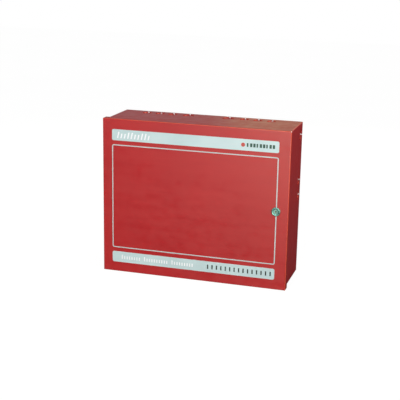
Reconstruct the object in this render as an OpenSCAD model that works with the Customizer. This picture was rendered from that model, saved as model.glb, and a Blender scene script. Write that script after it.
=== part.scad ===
// Red steel wall cabinet of a fire alarm system, with its hinged pan door, cam lock,
// charger board and two standby batteries. Millimetres. The wall is the plane y = 0,
// the door faces -Y, +X is to the right and +Z is up. The origin is the middle of the back.

/* [Cabinet] */
// Width of the door over its side flanges
door_w = 460; // [455:1:480]
// Height of the door over its top and bottom flanges
door_h = 382; // [380:1:400]
// Distance from the wall to the door's front face
depth = 150; // [148:1:156]
// Thickness of the steel sheet of box and door
sheet = 1.5; // [1.4:0.1:1.6]
// Outer radius of the door's bent edges
bend_r = 2.5; // [2:0.1:3]
// Outer radius of the bent edges around the box's back
box_bend = 3; // [2.5:0.5:5]
// Outer radius of the four edges between the box's walls
box_corner = 3; // [2:0.5:4]
// How far the door stands over the box at each side
side_gap = 3.5; // [3.5:0.1:4]
// How far the door stands over the box at top and bottom
top_gap = 2.6; // [2.4:0.1:3]
// Width of the lip that is folded in around the box's mouth
lip_w = 12; // [10:1:12]

/* [Door] */
// Depth of the door's flanges
flange_d = 19; // [18:0.5:19]
// Lock's distance from the door's middle
lock_x = 200.5; // [198:0.5:201]
// Height of the two label strips
strip_h = 27; // [24:1:28]
// Width of the printed outline
line_w = 2.5; // [2:0.5:4]
// Number of vent slots in the lower strip
slot_count = 15; // [9:1:15]

/* [Knockouts] */
// Diameter of the small knockouts, for 1/2 inch conduit
ko_small_d = 22.2; // [22:0.1:22.5]
// Diameter of the large knockouts, for 3/4 inch conduit
ko_large_d = 28.2; // [28:0.1:28.6]
// Distance of the knockouts' centre line from the wall
ko_row = 29; // [28:0.5:34]

/* [Batteries] */
// Width of one battery
batt_w = 181; // [170:1:181]
// Depth of one battery
batt_d = 77; // [70:1:77]
// Height of one battery up to its lid
batt_h = 161; // [140:1:161]

/* [Hidden] */

$fn = 48;
eps = 0.01;

box_w = door_w - 2 * side_gap;
box_h = door_h - 2 * top_gap;
box_front = -138;                 // y of the box's mouth
wall_x = box_w / 2;               // outer face of the side walls
wall_z = box_h / 2;               // outer face of the top and bottom walls
in_x = wall_x - sheet;            // inner face of the side walls
floor_z = -wall_z + sheet;        // top of the box's floor
door_front = -depth;
door_back = door_front + sheet;   // inner face of the door's panel
flange_in = door_w / 2 - sheet;   // inner face of the door's side flanges

// Knockouts: centres along the top wall and along each side wall
ko_off = -2.4;
ko_large_x = 50.8;
ko_small_x = [91.2, 124.2, 158];
ko_side_z = [160.8, 49.5, 13.3];
ko_sink = 1.7;                    // how far a blank is pushed in
ko_tie = 2.4;                     // width of the tie that holds a blank

// Screw holes in the back, and the keyholes' shape
hang_x = 195;
hang_z = 150;
hang_hole_r = 3.5;
key_entry_r = 7;
key_drop = 12;

// Printed outline and strips on the door
print_off = -1.75;                // the print stands this far off the door's middle
print_w = 408.5;
strip_top_z = 152.1;
strip_low_z = -153;
line_top = 127.5;
line_low = -128.2;
label_t = 0.3;
ink_t = 0.15;
slot_w = 2.4;
slot_h = 10;
slot_first = 38.9;
slot_pitch = 10.97;

// Hinge
hinge_x = -wall_x - 3;
hinge_y = -128;
knuckle_r = 2.6;
pin_r = 1.3;
pin_play = 0.05;
hinge_len = 340;
knuckles = 17;
knuckle_gap = 0.4;
leaf_t = 1;
knuckle_step = hinge_len / knuckles;
hinge_rivet_z = [-150, -50, 50, 150];
leaf_rivet_y = hinge_y + 14;      // rivets through the box's side wall
flange_rivet_y = door_front + 8;  // rivets through the door's flange
rivet_hole_r = 1.65;

// Cam lock
lock_head_r = 10.7;
lock_head_t = 2.2;
barrel_r = 9.5;
barrel_flat = 8;                  // half the distance across the barrel's flats
barrel_end = -134.6;
plug_r = 6;
plug_play = 0.08;
keyway_w = 2.2;
cam_t = 2.5;
cam_reach = 21;
cam_tail = 3.5;                   // half width of the plug's square tail

// Mounting plate and board
plate_y = -12.5;                  // rear face of the plate
plate_t = 1.5;
plate_front = plate_y - plate_t;
plate_lo = [-172, 0];
plate_hi = [172, 165];
stud_xz = [[-160, 12], [160, 12], [-160, 153], [160, 153]];
board_y = -26;                    // component side of the board
board_t = 1.6;
board_lo = [-70, 10];
board_hi = [155, 155];
board_fix = [for (x = [-64, 42.5, 149], z = [16, 149]) [x, z]];
block_pitch = 7.5;
blocks = [[-56, 134, 6], [-6, 134, 6], [46, 134, 6], [96, 134, 6], [4, 16, 4], [54, 16, 4]];

// Transformer
coil_x = -120;
coil_z = 84;
coil_out = 7;                     // how far the winding stands out of the core
core_w = 76;
core_h = 62;
core_y0 = -54;
core_y1 = -22;
window_x = 19;                    // middle of the core's two windows
window_w = 13;
window_h = 38;
foot_w = 12.2;
coil_lead_y = core_y0 - coil_out - 0.05;
coil_fix = [[coil_x - 46, coil_z], [coil_x + 46, coil_z]];

// Batteries
batt_back = -10;
batt_front = batt_back - batt_d;
batt_gap = 6;
pad_t = 3;
batt_z = floor_z + pad_t;
case_h = batt_h - 12;
lid_top = batt_z + batt_h;
term_y = batt_front + 12;
term_x = [-batt_w - batt_gap / 2 + 16, -batt_gap / 2 - 16, batt_gap / 2 + 16,
  batt_w + batt_gap / 2 - 16];
term_t = 2.5;
term_hole_z = lid_top + 7;
bolt_r = 2.5;

// Lead routes, each from its lug or clamp to the other end
lead_r = 2;
lug_y = term_y - term_t / 2 - 1;  // front face of a ring lug on a battery terminal
positive_route = [[-168, lug_y, lid_top + 17], [-166, lug_y - 4, lid_top + 30], [-140, -78, 22],
  [-90, -74, 12], [-30, -66, 4], [8, -52, -5], [20.5, -42, -2], [22.75, -37, 6], [22.75, -36, 15.8]];
negative_route = [[168, lug_y, lid_top + 17], [166, lug_y - 4, lid_top + 30], [150, -78, 16],
  [120, -70, 6], [90, -58, -6], [50, -44, -8], [33, -39, -2], [30.25, -36.5, 7], [30.25, -36, 15.8]];
link_route = [[-19, lug_y, lid_top + 17], [-18, lug_y - 2, lid_top + 26], [-10, lug_y - 5, lid_top + 33],
  [0, lug_y - 6, lid_top + 35], [10, lug_y - 5, lid_top + 33], [18, lug_y - 2, lid_top + 26],
  [19, lug_y, lid_top + 17]];
earth_r = 1.6;
earth_y = -112;
earth_z = 60;
earth_lug_x = -in_x + 8.5;        // middle of the crimp barrel on the box's stud
door_stud_x = -190;
door_lug_y = door_back + 5.5;     // middle of the crimp barrel on the door's stud
earth_end = earth_z - 15.1;       // just under the mouths of the two earth lugs
earth_route = [[earth_lug_x, earth_y, earth_end], [-216, earth_y, 34], [-213, -114, 16],
  [-206, -119, 2], [-197, -126, -3], [-190, -134, 2], [-187, -140, 16], [-189.5, -142.7, 34],
  [door_stud_x, door_lug_y, earth_end]];
coil_leads = [
  [[coil_x + 8, coil_lead_y, 74], [coil_x + 8, -65, 70], [-110, -66, 58], [-104, -58, 40],
    [-92, -44, 20], [-70, -35, 6], [-30, -33, 2], [-4, -34, 0], [6, -35.5, 3], [7.75, -36, 9],
    [7.75, -36, 15.8]],
  [[coil_x - 4, coil_lead_y, 74], [coil_x - 4, -65, 70], [-121, -68, 56], [-113, -62, 36],
    [-98, -48, 14], [-72, -38, 0], [-30, -36, -4], [2, -37, -6], [13.5, -37, -1], [15.25, -36, 7],
    [15.25, -36, 15.8]]];

// ---- Shared shapes ----
module block(lo, hi) translate(lo) cube(hi - lo);

module rod_y(x, z, y0, y1, r, n = 48)
  translate([x, y0, z]) rotate([-90, 0, 0]) cylinder(r = r, h = y1 - y0, $fn = n);

module rod_x(y, z, x0, x1, r, n = 48)
  translate([x0, y, z]) rotate([0, 90, 0]) cylinder(r = r, h = x1 - x0, $fn = n);

module rod_z(x, y, z0, z1, r, n = 48)
  translate([x, y, z0]) cylinder(r = r, h = z1 - z0, $fn = n);

// Rectangle with four round corners
module round_rect(w, h, r) {
  square([w - 2 * r, h], center = true);
  square([w, h - 2 * r], center = true);
  for (sx = [-1, 1], sy = [-1, 1]) translate([sx * (w / 2 - r), sy * (h / 2 - r)]) circle(r = r);
}

// Rectangle of width w and depth d whose two edges at y = 0 are round
module bent_profile(w, d, r) {
  translate([-w / 2 + r, 0]) square([w - 2 * r, d]);
  translate([-w / 2, r]) square([w, d - r]);
  for (sx = [-1, 1]) translate([sx * (w / 2 - r), r]) circle(r = r);
}

// Block that starts at y = 0 and runs along +Y, with bent edges around its y = 0 face
module bent_block(w, h, d, r, corner_r) intersection() {
  linear_extrude(h, center = true) bent_profile(w, d, r);
  rotate([0, 90, 0]) linear_extrude(w, center = true) bent_profile(h, d, r);
  rotate([-90, 0, 0]) linear_extrude(d) round_rect(w, h, corner_r);
}

module hex_nut_y(x, z, y0, y1, across, bore_r) difference() {
  rod_y(x, z, y0, y1, across / sqrt(3), 6);
  rod_y(x, z, y0 - 1, y1 + 1, bore_r);
}

// Pan-head screw along Y whose head's underside is at y0; the head points to -Y
module screw_y(x, z, y0, head_r, head_h, shank_r, len, slot = true) difference() {
  union() {
    rod_y(x, z, y0 - head_h, y0, head_r);
    rod_y(x, z, y0 - eps, y0 + len, shank_r);
  }
  if (slot) for (a = [0, 90]) translate([x, y0 - head_h, z]) rotate([0, a, 0])
    cube([head_r * 1.3, head_h * 0.9, head_r * 0.28], center = true);
}

// Smooth curve through the route's points
function spline(p, i, t) = let (
    a = p[max(i - 1, 0)], b = p[i], c = p[i + 1], d = p[min(i + 2, len(p) - 1)])
  0.5 * (2 * b + (c - a) * t + (2 * a - 5 * b + 4 * c - d) * t * t
    + (3 * b - a - 3 * c + d) * t * t * t);
function curve(p, n) = concat([for (i = [0 : len(p) - 2], k = [0 : n - 1]) spline(p, i, k / n)],
  [p[len(p) - 1]]);
function unit(v) = v / norm(v);
function heading(q, i) = unit(q[min(i + 1, len(q) - 1)] - q[max(i - 1, 0)]);

// Tube along a route, as one closed mesh with eight sides
module lead(route, r, n = 4, sides = 8) {
  q = curve(route, n);
  rings = [for (i = [0 : len(q) - 1]) let (t = heading(q, i), u = unit(cross(t, [0, 1, 0.01])),
      v = cross(t, u)) [for (k = [0 : sides - 1]) let (a = 360 * k / sides)
        q[i] + r * (u * cos(a) + v * sin(a))]];
  points = [for (ring = rings) each ring];
  last = (len(q) - 1) * sides;
  faces = concat([[for (k = [0 : sides - 1]) k]],
    [for (i = [0 : len(q) - 2], k = [0 : sides - 1]) let (m = (k + 1) % sides)
      [i * sides + m, i * sides + k, (i + 1) * sides + k, (i + 1) * sides + m]],
    [[for (k = [0 : sides - 1]) last + sides - 1 - k]]);
  polyhedron(points, faces, convexity = 6);
}

// ---- Cabinet ----
// Recess of one knockout, cut from a wall whose outer face is at z = 0; ties stay at +Y and -Y
module knockout_cut(d) difference() {
  translate([0, 0, -ko_sink]) cylinder(d = d, h = ko_sink + 1);
  for (s = [-1, 1]) translate([0, s * d / 2, -ko_sink]) cube([ko_tie, 3, 2 * ko_sink - 0.4], center = true);
}

module knockout_boss(d) translate([0, 0, -sheet - ko_sink]) cylinder(d = d + 1, h = ko_sink + 0.2);

module at_knockouts() {
  for (s = [-1, 1]) {
    translate([ko_off + s * ko_large_x, -ko_row, wall_z]) children(1);
    for (x = ko_small_x) translate([ko_off + s * x, -ko_row, wall_z]) children(0);
    for (z = ko_side_z) translate([s * wall_x, -ko_row, z]) rotate([0, s * 90, 0]) children(0);
  }
}

module back_box() color([0.72, 0.16, 0.18]) {
  difference() {
    union() {
      difference() {
        mirror([0, 1, 0]) bent_block(box_w, box_h, -box_front, box_bend, box_corner);
        translate([0, -sheet, 0]) mirror([0, 1, 0]) bent_block(2 * in_x, box_h - 2 * sheet,
          -box_front - 2 * sheet, box_bend - sheet, box_corner - sheet);
        block([-wall_x + lip_w, box_front - 1, -wall_z + lip_w], [wall_x - lip_w, -sheet, wall_z - lip_w]);
      }
      at_knockouts() {
        knockout_boss(ko_small_d);
        knockout_boss(ko_large_d);
      }
    }
    at_knockouts() {
      knockout_cut(ko_small_d);
      knockout_cut(ko_large_d);
    }
    for (s = [-1, 1]) {
      rod_y(s * hang_x, -hang_z, -sheet - 1, 1, hang_hole_r);
      rod_y(s * hang_x, hang_z - key_drop, -sheet - 1, 1, key_entry_r);
      rod_y(s * hang_x, hang_z, -sheet - 1, 1, hang_hole_r);
      block([s * hang_x - hang_hole_r, -sheet - 1, hang_z - key_drop],
        [s * hang_x + hang_hole_r, 1, hang_z]);
    }
    for (z = hinge_rivet_z) rod_x(leaf_rivet_y, z, -wall_x - 1, -in_x + 1, rivet_hole_r);
  }
}

module door_bumpers() color([0.1, 0.1, 0.1])
  for (z = [-hang_z, hang_z]) rod_y(wall_x - lip_w / 2 - 0.5, z, door_back + 0.3, box_front, 4.8);

// ---- Hinge ----
module knuckle_ring(i) translate([hinge_x, hinge_y, -hinge_len / 2 + i * knuckle_step + knuckle_gap / 2])
  cylinder(r = knuckle_r, h = knuckle_step - knuckle_gap);

module pin_bore() rod_z(hinge_x, hinge_y, -hinge_len / 2 - 1, hinge_len / 2 + 1, pin_r + pin_play);

module hinge_body_leaf() color([0.62, 0.14, 0.16]) difference() {
  union() {
    block([-wall_x - leaf_t, hinge_y + 4, -hinge_len / 2], [-wall_x, hinge_y + 22, hinge_len / 2]);
    for (i = [0 : 2 : knuckles - 1]) {
      z = -hinge_len / 2 + i * knuckle_step;
      knuckle_ring(i);
      block([-wall_x - leaf_t, hinge_y - 0.5, z + knuckle_gap / 2],
        [-wall_x - 0.05, hinge_y + 5, z + knuckle_step - knuckle_gap / 2]);
    }
  }
  pin_bore();
  for (z = hinge_rivet_z) rod_x(leaf_rivet_y, z, -wall_x - leaf_t - 1, -wall_x + 1, rivet_hole_r);
}

module hinge_door_leaf() color([0.62, 0.14, 0.16]) difference() {
  union() {
    block([-flange_in, door_back + 1, -hinge_len / 2], [-flange_in + leaf_t, hinge_y - 3, hinge_len / 2]);
    for (i = [1 : 2 : knuckles - 1]) {
      z = -hinge_len / 2 + i * knuckle_step;
      knuckle_ring(i);
      block([-flange_in, hinge_y - 4, z + knuckle_gap / 2],
        [-flange_in + leaf_t, hinge_y - 1, z + knuckle_step - knuckle_gap / 2]);
    }
  }
  pin_bore();
  for (z = hinge_rivet_z) rod_x(flange_rivet_y, z, -flange_in - 1, -flange_in + leaf_t + 1, rivet_hole_r);
}

module hinge_pin() color([0.75, 0.76, 0.78])
  rod_z(hinge_x, hinge_y, -hinge_len / 2, hinge_len / 2, pin_r);

// Domed rivet along X with its head's underside at x0 and its upset end at x1
module rivet_x(y, z, x0, x1, tail_r, tail_t) {
  rod_x(y, z, x0 - 0.9, x0, 2.8);
  rod_x(y, z, x0 - eps, x1 + eps, 1.6);
  rod_x(y, z, x1, x1 + tail_t, tail_r);
}

module hinge_body_rivets() color([0.62, 0.14, 0.16])
  for (z = hinge_rivet_z) rivet_x(leaf_rivet_y, z, -wall_x - leaf_t, -in_x, 2.4, 1.6);

module hinge_door_rivets() color([0.62, 0.14, 0.16])
  for (z = hinge_rivet_z) rivet_x(flange_rivet_y, z, -door_w / 2, -flange_in + leaf_t, 2.2, 0.6);

// ---- Door ----
module vent_slots(y0, y1) for (i = [0 : slot_count - 1])
  block([slot_first + i * slot_pitch - slot_w / 2, y0, strip_low_z - slot_h / 2],
    [slot_first + i * slot_pitch + slot_w / 2, y1, strip_low_z + slot_h / 2]);

module door_panel() color([0.75, 0.22, 0.23]) difference() {
  translate([0, door_front, 0]) bent_block(door_w, door_h, flange_d, bend_r, 2);
  translate([0, door_back, 0])
    bent_block(door_w - 2 * sheet, door_h - 2 * sheet, flange_d, bend_r - sheet, 0.6);
  intersection() {
    rod_y(lock_x, 0, door_front - 1, door_back + 1, barrel_r + 0.1);
    block([lock_x - 20, door_front - 2, -barrel_flat - 0.1], [lock_x + 20, door_back + 2, barrel_flat + 0.1]);
  }
  vent_slots(door_front - 1, door_back + 1);
  for (z = hinge_rivet_z) rod_x(flange_rivet_y, z, -door_w / 2 - 1, -flange_in + 1, rivet_hole_r);
}

module printed(z, w, h, r, t) translate([print_off, door_front, z])
  rotate([90, 0, 0]) linear_extrude(t) round_rect(w, h, r);

module top_label() color([0.8, 0.87, 0.87]) printed(strip_top_z, print_w, strip_h, 4, label_t);

module bottom_label() color([0.8, 0.87, 0.87]) difference() {
  printed(strip_low_z, print_w, strip_h, 4, label_t);
  vent_slots(door_front - 1, door_front + 1);
}

module outline_stripe() color([0.78, 0.81, 0.83]) difference() {
  printed((line_top + line_low) / 2, print_w, line_top - line_low + line_w, 5, ink_t);
  translate([0, 1, 0])
    printed((line_top + line_low) / 2, print_w - 2 * line_w, line_top - line_low - line_w, 2.5, 2);
  rod_y(lock_x, 0, door_front - 1, door_front + 1, lock_head_r + 0.1);
}

module earth_stud_y(x, z, y0, len) {
  rod_y(x, z, y0, y0 + 1.2, 4);
  rod_y(x, z, y0 + 1.2 - eps, y0 + len, 2);
}

module door_stud() color([0.7, 0.6, 0.35]) earth_stud_y(door_stud_x, earth_z, door_back, 13);

module door_nut() color([0.75, 0.76, 0.78])
  hex_nut_y(door_stud_x, earth_z, door_back + 5.6, door_back + 8.8, 7, 2.05);

module door_lug() color([0.78, 0.78, 0.75]) difference() {
  union() {
    rod_y(door_stud_x, earth_z, door_back + 4.4, door_back + 5.4, 4.5);
    block([door_stud_x - 2, door_back + 4.4, earth_z - 8], [door_stud_x + 2, door_back + 5.4, earth_z]);
    rod_z(door_stud_x, door_lug_y, earth_z - 15, earth_z - 7, 2.2);
  }
  rod_y(door_stud_x, earth_z, door_back, door_back + 9, 2.1);
  rod_z(door_stud_x, door_lug_y, earth_z - 16, earth_z - 10, earth_r + 0.05);
}

// ---- Cam lock ----
module lock_barrel() color([0.6, 0.7, 0.62]) difference() {
  union() {
    rod_y(lock_x, 0, door_front - lock_head_t + 0.5, door_front, lock_head_r);
    rod_y(lock_x, 0, door_front - lock_head_t, door_front, lock_head_r - 0.6);
    intersection() {
      rod_y(lock_x, 0, door_front - eps, barrel_end, barrel_r);
      block([lock_x - 20, door_front - 1, -barrel_flat], [lock_x + 20, barrel_end + 1, barrel_flat]);
    }
  }
  rod_y(lock_x, 0, door_front - lock_head_t - 1, barrel_end + 1, plug_r + plug_play);
  rod_y(lock_x, 0, door_front - lock_head_t - 1, door_front - lock_head_t + 0.5, plug_r + 1.2);
}

module lock_washer() color([0.75, 0.76, 0.78]) difference() {
  rod_y(lock_x, 0, door_back, door_back + 0.8, 13);
  rod_y(lock_x, 0, door_back - 1, door_back + 2, barrel_r + 0.1);
}

module lock_nut() color([0.75, 0.76, 0.78])
  hex_nut_y(lock_x, 0, door_back + 0.8, door_back + 4.8, 24, barrel_r + 0.05);

module lock_plug() color([0.65, 0.72, 0.65]) difference() {
  union() {
    rod_y(lock_x, 0, door_front - lock_head_t + 0.4, barrel_end + 0.1, plug_r);
    block([lock_x - cam_tail, barrel_end, -cam_tail], [lock_x + cam_tail, barrel_end + cam_t, cam_tail]);
  }
  block([lock_x - keyway_w / 2, door_front - lock_head_t - 1, -3.4],
    [lock_x + keyway_w / 2, door_front + 8, 3.4]);
  rod_y(lock_x, 0, barrel_end - 6, barrel_end + cam_t + 1, 1.55);
}

module lock_cam() color([0.75, 0.76, 0.78]) difference() {
  union() {
    rod_y(lock_x, 0, barrel_end + 0.15, barrel_end + cam_t, 8);
    block([lock_x - 6, barrel_end + 0.15, -cam_reach + 6], [lock_x + 6, barrel_end + cam_t, 0]);
    rod_y(lock_x, -cam_reach + 6, barrel_end + 0.15, barrel_end + cam_t, 6);
  }
  block([lock_x - cam_tail - 0.05, barrel_end - 1, -cam_tail - 0.05],
    [lock_x + cam_tail + 0.05, barrel_end + cam_t + 1, cam_tail + 0.05]);
}

// The cam's screw is turned from behind, so its head points to +Y
module cam_screw() color([0.7, 0.7, 0.72]) difference() {
  union() {
    rod_y(lock_x, 0, barrel_end + cam_t, barrel_end + cam_t + 2, 5.2);
    rod_y(lock_x, 0, barrel_end - 5, barrel_end + cam_t + eps, 1.5);
  }
  block([lock_x - 4, barrel_end + cam_t + 1, -0.5], [lock_x + 4, barrel_end + cam_t + 3, 0.5]);
}

// ---- Mounting plate ----
module mounting_plate() color([0.78, 0.79, 0.8]) difference() {
  union() {
    block([plate_lo[0], plate_front, plate_lo[1]], [plate_hi[0], plate_y, plate_hi[1]]);
    block([plate_lo[0], plate_front - 6, plate_lo[1]],
      [plate_hi[0], plate_front + eps, plate_lo[1] + plate_t]);
  }
  for (p = stud_xz) rod_y(p[0], p[1], plate_front - 1, plate_y + 1, 2.3);
  for (p = board_fix) rod_y(p[0], p[1], plate_front - 1, plate_y + 1, 1.6);
  for (p = coil_fix) rod_y(p[0], p[1], plate_front - 1, plate_y + 1, 1.6);
}

module plate_studs() color([0.72, 0.73, 0.75]) for (p = stud_xz) {
  rod_y(p[0], p[1], plate_y, -sheet, 5);
  rod_y(p[0], p[1], plate_front - 7, plate_y + eps, 2);
}

module plate_nuts() color([0.75, 0.76, 0.78])
  for (p = stud_xz) hex_nut_y(p[0], p[1], plate_front - 3.2, plate_front, 7, 2.05);

// ---- Charger board ----
module on_board(x0, x1, z0, z1, h) block([x0, board_y - h, z0], [x1, board_y, z1]);

module charger_board() color([0.1, 0.36, 0.2]) difference() {
  translate([(board_lo[0] + board_hi[0]) / 2, board_y + board_t, (board_lo[1] + board_hi[1]) / 2])
    rotate([90, 0, 0]) linear_extrude(board_t)
      round_rect(board_hi[0] - board_lo[0], board_hi[1] - board_lo[1], 2);
  for (p = board_fix) rod_y(p[0], p[1], board_y - 1, board_y + board_t + 1, 1.6);
}

module board_standoffs() color([0.8, 0.68, 0.35]) for (p = board_fix) difference() {
  rod_y(p[0], p[1], board_y + board_t, plate_front, 3.4, 6);
  rod_y(p[0], p[1], board_y, plate_front + 1, 1.55);
}

module board_screws() color([0.75, 0.76, 0.78])
  for (p = board_fix) screw_y(p[0], p[1], board_y, 2.8, 2, 1.5, 6);

// One clamp strip; its wire mouths face the nearer edge of the board
module terminal_strip(x, z, ways) {
  w = ways * block_pitch;
  up = z > 80 ? 1 : -1;
  difference() {
    union() {
      on_board(x, x + w, z, z + 14, 8);
      on_board(x, x + w, z + (up > 0 ? 0 : 3), z + (up > 0 ? 11 : 14), 13);
    }
    for (i = [0 : ways - 1]) {
      cx = x + (i + 0.5) * block_pitch;
      rod_y(cx, z + 7, board_y - 14, board_y - 7, 2.3);
      block([cx - 2.4, board_y - 7, up > 0 ? z + 10 : z - 1],
        [cx + 2.4, board_y - 2, up > 0 ? z + 15 : z + 4]);
    }
  }
}

module terminal_blocks() color([0.12, 0.3, 0.2]) for (b = blocks) terminal_strip(b[0], b[1], b[2]);

module terminal_screws() color([0.75, 0.76, 0.78])
  for (b = blocks) for (i = [0 : b[2] - 1]) difference() {
    rod_y(b[0] + (i + 0.5) * block_pitch, b[1] + 7, board_y - 11, board_y - 7, 2.2, 24);
    block([b[0] + (i + 0.5) * block_pitch - 3, board_y - 12, b[1] + 6.6],
      [b[0] + (i + 0.5) * block_pitch + 3, board_y - 10, b[1] + 7.4]);
  }

module heatsink() color([0.2, 0.21, 0.22]) {
  on_board(-60, 0, 60, 63, 32);
  for (i = [0 : 7]) on_board(-60 + i * 8.35, -60 + i * 8.35 + 1.5, 46, 60 + eps, 32);
}

module power_transistors() color([0.12, 0.12, 0.13]) for (x = [-52, -34, -16]) {
  on_board(x, x + 10, 64.2, 68.6, 18);
  block([x, board_y - 22, 63], [x + 10, board_y - 6, 64.2 + eps]);
}

module capacitors() color([0.12, 0.14, 0.3]) for (p = [[14, 62], [34, 62], [14, 84], [34, 84]]) {
  rod_y(p[0], p[1], board_y - 28, board_y - 1, 8);
  rod_y(p[0], p[1], board_y - 29, board_y, 7.2);
}

module relays() color([0.15, 0.25, 0.5]) for (i = [0 : 3])
  translate([58 + i * 21, board_y, 116]) rotate([90, 0, 0]) linear_extrude(15.5) round_rect(15.5, 20, 1);

fuse_xz = [[-56, 30], [-56, 40], [-26, 30], [-26, 40]];
fuse_y = board_y - 6;
fuse_len = 22;
cap_len = 5;
cap_r = 3;
function fuse_caps(x) = [x, x + fuse_len - cap_len];

module fuse_clips() color([0.8, 0.8, 0.78]) for (p = fuse_xz, x = fuse_caps(p[0])) difference() {
  on_board(x, x + cap_len, p[1] - 3.8, p[1] + 3.8, 9.5);
  block([x - 1, board_y - 11, p[1] - 2], [x + cap_len + 1, board_y - 1.5, p[1] + 2]);
  rod_x(fuse_y, p[1], x - 1, x + cap_len + 1, cap_r + 0.1);
}

module fuse_tubes() color([0.85, 0.88, 0.88]) for (p = fuse_xz) {
  rod_x(fuse_y, p[1], p[0], p[0] + fuse_len, 2.6);
  for (x = fuse_caps(p[0])) rod_x(fuse_y, p[1], x, x + cap_len, cap_r);
}

led_xz = [for (i = [0 : 5]) [64 + i * 9, 46]];
module status_leds() color([0.2, 0.75, 0.25]) for (p = led_xz) {
  rod_y(p[0], p[1], board_y - 1, board_y, 2);
  rod_y(p[0], p[1], board_y - 3.5, board_y - 1 + eps, 1.6);
  translate([p[0], board_y - 3.5, p[1]]) sphere(r = 1.6);
}

module ic_chips() color([0.08, 0.08, 0.09]) {
  on_board(66, 86, 70, 90, 1.8);
  for (x = [96, 112]) on_board(x, x + 7, 68, 92, 3.6);
  on_board(66, 90, 58, 64, 3.6);
}

module sounder() color([0.08, 0.08, 0.09]) difference() {
  rod_y(136, 92, board_y - 9.5, board_y, 12);
  rod_y(136, 92, board_y - 11, board_y - 4, 1.5);
}

reset_xz = [137, 62];
module reset_switch() color([0.1, 0.1, 0.11]) difference() {
  on_board(reset_xz[0] - 6, reset_xz[0] + 6, reset_xz[1] - 6, reset_xz[1] + 6, 7);
  rod_y(reset_xz[0], reset_xz[1], board_y - 8, board_y - 1, 3.05);
}

module reset_cap() color([0.85, 0.85, 0.83]) {
  rod_y(reset_xz[0], reset_xz[1], board_y - 13.5, board_y - 9.5, 5);
  rod_y(reset_xz[0], reset_xz[1], board_y - 9.5 - eps, board_y - 4, 3);
}

// ---- Transformer ----
module transformer_core() color([0.3, 0.28, 0.26]) difference() {
  block([coil_x - core_w / 2, core_y0, coil_z - core_h / 2],
    [coil_x + core_w / 2, core_y1, coil_z + core_h / 2]);
  for (s = [-1, 1])
    block([coil_x + s * window_x - window_w / 2, core_y0 - 1, coil_z - window_h / 2],
      [coil_x + s * window_x + window_w / 2, core_y1 + 1, coil_z + window_h / 2]);
}

module transformer_coil() color([0.75, 0.6, 0.25]) difference() {
  block([coil_x - 25, core_y0 - coil_out, coil_z - window_h / 2 + 0.5],
    [coil_x + 25, core_y1 + coil_out, coil_z + window_h / 2 - 0.5]);
  block([coil_x - 12.6, core_y0 - 0.1, coil_z - window_h],
    [coil_x + 12.6, core_y1 + 0.1, coil_z + window_h]);
}

module transformer_frame() color([0.78, 0.79, 0.8]) difference() {
  union() {
    for (s = [-1, 1]) {
      block([coil_x + s * (core_w / 2 + 0.6) - 0.6, core_y0 + 2, coil_z - 14],
        [coil_x + s * (core_w / 2 + 0.6) + 0.6, plate_front, coil_z + 14]);
      block([coil_x + s * (core_w + foot_w) / 2 - foot_w / 2, plate_front - 1.2, coil_z - 14],
        [coil_x + s * (core_w + foot_w) / 2 + foot_w / 2, plate_front, coil_z + 14]);
    }
  }
  for (p = coil_fix) rod_y(p[0], p[1], plate_front - 3, plate_front + 1, 1.6);
}

module transformer_screws() color([0.75, 0.76, 0.78])
  for (p = coil_fix) screw_y(p[0], p[1], plate_front - 1.2, 2.8, 2, 1.5, 5);

module transformer_leads() color([0.85, 0.75, 0.2]) for (route = coil_leads) lead(route, 1.1, 4);

// ---- Batteries ----
module battery_case(x0) color([0.16, 0.17, 0.18])
  translate([x0 + batt_w / 2, (batt_back + batt_front) / 2, batt_z]) linear_extrude(case_h)
    round_rect(batt_w, batt_d, 3);

module battery_lid(x0) color([0.1, 0.11, 0.12]) difference() {
  translate([x0 + batt_w / 2, (batt_back + batt_front) / 2, batt_z + case_h])
    linear_extrude(batt_h - case_h) round_rect(batt_w - 1, batt_d - 1, 3);
  for (tx = term_x) block([tx - 10, batt_front - 1, lid_top - 6], [tx + 10, term_y + 9, lid_top + 1]);
  block([x0 + 40, (batt_back + batt_front) / 2 - 6, lid_top - 1],
    [x0 + batt_w - 40, (batt_back + batt_front) / 2 + 6, lid_top + 1]);
}

batt_left = -batt_w - batt_gap / 2;
batt_right = batt_gap / 2;
module battery_left_case() battery_case(batt_left);
module battery_left_lid() battery_lid(batt_left);
module battery_right_case() battery_case(batt_right);
module battery_right_lid() battery_lid(batt_right);

module battery_terminals() color([0.72, 0.72, 0.7]) for (x = term_x) difference() {
  union() {
    block([x - 6, term_y - 6, lid_top - 6], [x + 6, term_y + 6, lid_top - 4]);
    block([x - 6, term_y - term_t / 2, lid_top - 5], [x + 6, term_y + term_t / 2, lid_top + 13]);
  }
  rod_y(x, term_hole_z, term_y - 3, term_y + 3, bolt_r + 0.2);
}

module battery_bolts() color([0.78, 0.79, 0.8]) for (x = term_x) {
  rod_y(x, term_hole_z, lug_y - 3, lug_y, 8 / sqrt(3), 6);
  rod_y(x, term_hole_z, lug_y - eps, term_y + 8, bolt_r);
  hex_nut_y(x, term_hole_z, term_y + term_t / 2, term_y + term_t / 2 + 4, 8, bolt_r + 0.05);
}

module battery_pads() color([0.08, 0.08, 0.08]) for (x0 = [batt_left, batt_right], x = [8, batt_w - 28])
  block([x0 + x, batt_front + 4, floor_z], [x0 + x + 20, batt_back - 4, floor_z + pad_t]);

stop_x = 185;
stop_rivet_x = [-140, 0, 140];
module battery_stop() color([0.1, 0.1, 0.11]) difference() {
  union() {
    block([-stop_x, batt_front - 2, floor_z], [stop_x, batt_front - 0.5, floor_z + 22]);
    block([-stop_x, batt_front - 16, floor_z], [stop_x, batt_front - 1, floor_z + 1.5]);
  }
  for (x = stop_rivet_x) rod_z(x, batt_front - 9, floor_z - 1, floor_z + 3, 2.05);
}

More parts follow.
